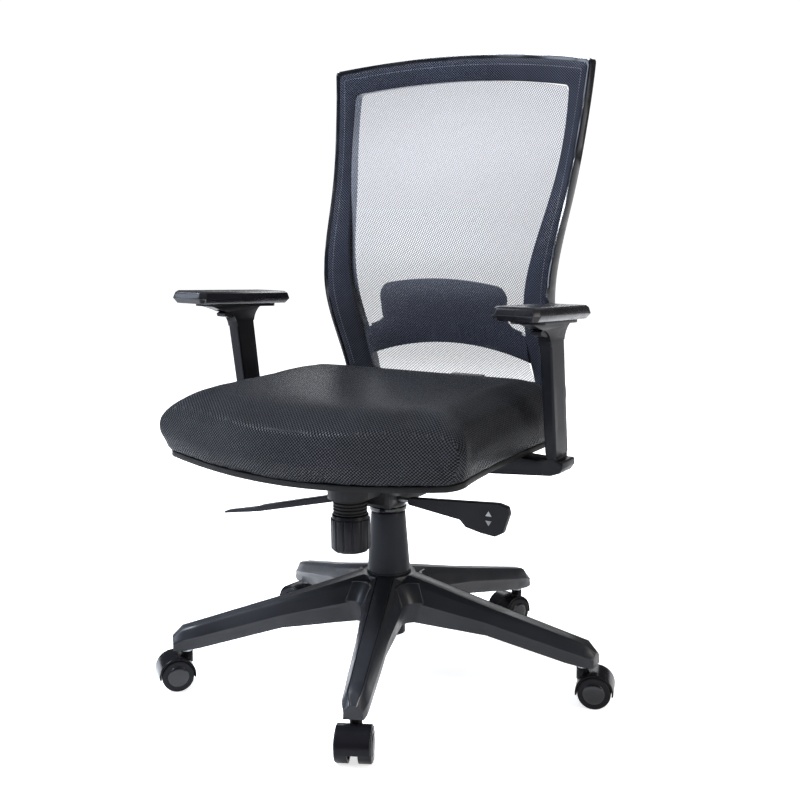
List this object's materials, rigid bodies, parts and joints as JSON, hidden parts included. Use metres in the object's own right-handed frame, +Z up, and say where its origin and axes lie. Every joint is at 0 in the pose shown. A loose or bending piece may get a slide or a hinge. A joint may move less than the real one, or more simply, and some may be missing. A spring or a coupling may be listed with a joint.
{
  "type": "swivel office chair",
  "caption": "Height-adjustable swivel chair with a five-leg caster base, padded seat, adjustable arms, synchro tilt and a reclining mesh back with a lumbar pad.",
  "frame": {"origin": "on the floor under the gas lift's axis", "axes": "+Z up along the gas lift, the sitter faces -Y, the sitter's left is +X"},
  "size_m": [0.7008, 0.6877, 0.979],
  "materials": {
    "base_nylon": "moulded satin",
    "black_plastic": "moulded satin",
    "caster_nylon": "satin",
    "steel": "zinc plated",
    "black_steel": "powder coated",
    "rubber": "matte",
    "lever_plastic": "satin",
    "pad_polyurethane": "satin",
    "frame_plastic": "gloss",
    "border_fabric": "fine weave",
    "seat_fabric": "spacer mesh",
    "mesh_fabric": "open mesh"
  },
  "bodies": {
    "base": {"star_base": "base_nylon", "gas_cylinder": "black_plastic", "dust_cover": "black_plastic"},
    "swivel": {"piston_rod": "steel", "rod_clip": "steel", "thrust_bearing": "steel"},
    "chassis": {"pressure_tube": "steel", "column_collar": "black_plastic", "mechanism_housing": "black_plastic", "tilt_pin": "steel", "recline_pin": "steel", "tension_boot": "rubber", "tension_spring": "steel"},
    "valve": {"valve_pin": "steel"},
    "tension": {"tension_knob": "black_plastic", "tension_bolt": "steel"},
    "height_control": {"height_lever": "steel", "height_paddle": "lever_plastic"},
    "lock_control": {"lock_lever": "steel", "lock_grip": "lever_plastic"},
    "seat": {"seat_plate": "black_steel", "seat_pan": "black_plastic", "seat_cushion": "seat_fabric", "seat_bolts": "steel", "arm_bracket_left": "lever_plastic", "arm_bracket_right": "lever_plastic", "arm_bolts": "steel"},
    "arm_left": {"arm_sleeve_left": "lever_plastic", "arm_pad_left": "pad_polyurethane"},
    "arm_right": {"arm_sleeve_right": "lever_plastic", "arm_pad_right": "pad_polyurethane"},
    "trigger_left": {"arm_trigger_left": "black_plastic"},
    "trigger_right": {"arm_trigger_right": "black_plastic"},
    "back": {"back_bracket": "black_plastic", "back_frame": "frame_plastic", "mesh_carrier": "border_fabric", "back_mesh": "mesh_fabric", "back_screws": "steel", "lumbar_track": "lever_plastic"},
    "lumbar": {"lumbar_pad": "lever_plastic"},
    "caster_front": {"caster_hood_front": "caster_nylon", "caster_pins_front": "steel"},
    "wheel_front_a": {"caster_wheel_front_a": "caster_nylon"},
    "wheel_front_b": {"caster_wheel_front_b": "caster_nylon"},
    "caster_right": {"caster_hood_right": "caster_nylon", "caster_pins_right": "steel"},
    "wheel_right_a": {"caster_wheel_right_a": "caster_nylon"},
    "wheel_right_b": {"caster_wheel_right_b": "caster_nylon"},
    "caster_rear_right": {"caster_hood_rear_right": "caster_nylon", "caster_pins_rear_right": "steel"},
    "wheel_rear_right_a": {"caster_wheel_rear_right_a": "caster_nylon"},
    "wheel_rear_right_b": {"caster_wheel_rear_right_b": "caster_nylon"},
    "caster_rear_left": {"caster_hood_rear_left": "caster_nylon", "caster_pins_rear_left": "steel"},
    "wheel_rear_left_a": {"caster_wheel_rear_left_a": "caster_nylon"},
    "wheel_rear_left_b": {"caster_wheel_rear_left_b": "caster_nylon"},
    "caster_left": {"caster_hood_left": "caster_nylon", "caster_pins_left": "steel"},
    "wheel_left_a": {"caster_wheel_left_a": "caster_nylon"},
    "wheel_left_b": {"caster_wheel_left_b": "caster_nylon"}
  },
  "joints": [
    {"name": "swivel_turn", "type": "hinge", "parent": "base", "child": "swivel", "pos_m": [0, 0, 0], "axis": [0, 0, 1], "continuous": true},
    {"name": "seat_height", "type": "slide", "parent": "swivel", "child": "chassis", "axis": [0, 0, 1], "range_m": [0, 0.1]},
    {"name": "height_lever_lift", "type": "hinge", "parent": "chassis", "child": "height_control", "pos_m": [0.044, -0.042, 0.298], "axis": [0, -1, 0], "range_deg": [0, 5], "stiffness_Nm_per_rad": 2, "springref_deg": -6.88},
    {"name": "valve_press", "type": "slide", "parent": "chassis", "child": "valve", "axis": [0, 0, 1], "range_m": [-0.004, 0]},
    {"name": "tension_turn", "type": "hinge", "parent": "chassis", "child": "tension", "pos_m": [0, -0.108, 0.25], "axis": [0, 0, 1], "range_deg": [-720, 720]},
    {"name": "tilt_lock_lift", "type": "hinge", "parent": "chassis", "child": "lock_control", "pos_m": [-0.044, -0.062, 0.2955], "axis": [0, 1, 0], "range_deg": [0, 12]},
    {"name": "seat_tilt", "type": "hinge", "parent": "chassis", "child": "seat", "pos_m": [0, -0.06, 0.338], "axis": [-1, 0, 0], "range_deg": [0, 8]},
    {"name": "recline", "type": "hinge", "parent": "chassis", "child": "back", "pos_m": [0, 0.03, 0.318], "axis": [-1, 0, 0], "range_deg": [0, 20], "stiffness_Nm_per_rad": 150, "springref_deg": -17.19},
    {"name": "lumbar_height", "type": "slide", "parent": "back", "child": "lumbar", "axis": [0, 0, 1], "range_m": [0, 0.02]},
    {"name": "arm_height_left", "type": "slide", "parent": "seat", "child": "arm_left", "axis": [0.0087, -0.1374, 0.9905], "range_m": [0, 0.07]},
    {"name": "arm_trigger_left_press", "type": "slide", "parent": "arm_left", "child": "trigger_left", "axis": [0.0087, -0.1374, 0.9905], "range_m": [0, 0.004], "stiffness_N_per_m": 500, "springref_m": -0.003},
    {"name": "arm_height_right", "type": "slide", "parent": "seat", "child": "arm_right", "axis": [-0.0087, -0.1374, 0.9905], "range_m": [0, 0.07]},
    {"name": "arm_trigger_right_press", "type": "slide", "parent": "arm_right", "child": "trigger_right", "axis": [-0.0087, -0.1374, 0.9905], "range_m": [0, 0.004], "stiffness_N_per_m": 500, "springref_m": -0.003},
    {"name": "caster_swivel_front", "type": "hinge", "parent": "base", "child": "caster_front", "pos_m": [0.12856, -0.29566, 0.045], "axis": [0, 0, 1], "continuous": true},
    {"name": "wheel_roll_front_a", "type": "hinge", "parent": "caster_front", "child": "wheel_front_a", "pos_m": [0.13659, -0.31288, 0.025], "axis": [-0.9063, -0.4226, 0], "continuous": true},
    {"name": "wheel_roll_front_b", "type": "hinge", "parent": "caster_front", "child": "wheel_front_b", "pos_m": [0.13659, -0.31288, 0.025], "axis": [-0.9063, -0.4226, 0], "continuous": true},
    {"name": "caster_swivel_right", "type": "hinge", "parent": "base", "child": "caster_right", "pos_m": [0.32092, 0.0309, 0.045], "axis": [0, 0, 1], "continuous": true},
    {"name": "wheel_roll_right_a", "type": "hinge", "parent": "caster_right", "child": "wheel_right_a", "pos_m": [0.33883, 0.03724, 0.025], "axis": [0.3338, -0.9426, 0], "continuous": true},
    {"name": "wheel_roll_right_b", "type": "hinge", "parent": "caster_right", "child": "wheel_right_b", "pos_m": [0.33883, 0.03724, 0.025], "axis": [0.3338, -0.9426, 0], "continuous": true},
    {"name": "caster_swivel_rear_right", "type": "hinge", "parent": "base", "child": "caster_rear_right", "pos_m": [0.06978, 0.31476, 0.045], "axis": [0, 0, 1], "continuous": true},
    {"name": "wheel_roll_rear_right_a", "type": "hinge", "parent": "caster_rear_right", "child": "wheel_rear_right_a", "pos_m": [0.06297, 0.29702, 0.025], "axis": [-0.9336, 0.3584, 0], "continuous": true},
    {"name": "wheel_roll_rear_right_b", "type": "hinge", "parent": "caster_rear_right", "child": "wheel_rear_right_b", "pos_m": [0.06297, 0.29702, 0.025], "axis": [-0.9336, 0.3584, 0], "continuous": true},
    {"name": "caster_swivel_rear_left", "type": "hinge", "parent": "base", "child": "caster_rear_left", "pos_m": [-0.27779, 0.16363, 0.045], "axis": [0, 0, 1], "continuous": true},
    {"name": "wheel_roll_rear_left_a", "type": "hinge", "parent": "caster_rear_left", "child": "wheel_rear_left_a", "pos_m": [-0.29672, 0.16529, 0.025], "axis": [0.0872, 0.9962, 0], "continuous": true},
    {"name": "wheel_roll_rear_left_b", "type": "hinge", "parent": "caster_rear_left", "child": "wheel_rear_left_b", "pos_m": [-0.29672, 0.16529, 0.025], "axis": [0.0872, 0.9962, 0], "continuous": true},
    {"name": "caster_swivel_left", "type": "hinge", "parent": "base", "child": "caster_left", "pos_m": [-0.24146, -0.21363, 0.045], "axis": [0, 0, 1], "continuous": true},
    {"name": "wheel_roll_left_a", "type": "hinge", "parent": "caster_left", "child": "wheel_left_a", "pos_m": [-0.25368, -0.22818, 0.025], "axis": [-0.766, 0.6428, 0], "continuous": true},
    {"name": "wheel_roll_left_b", "type": "hinge", "parent": "caster_left", "child": "wheel_left_b", "pos_m": [-0.25368, -0.22818, 0.025], "axis": [-0.766, 0.6428, 0], "continuous": true}
  ],
  "couplings": [
    {"joint": "valve_press", "follows": "height_lever_lift", "m_per_rad": -0.044},
    {"joint": "seat_tilt", "follows": "recline", "ratio": 0.4}
  ]
}
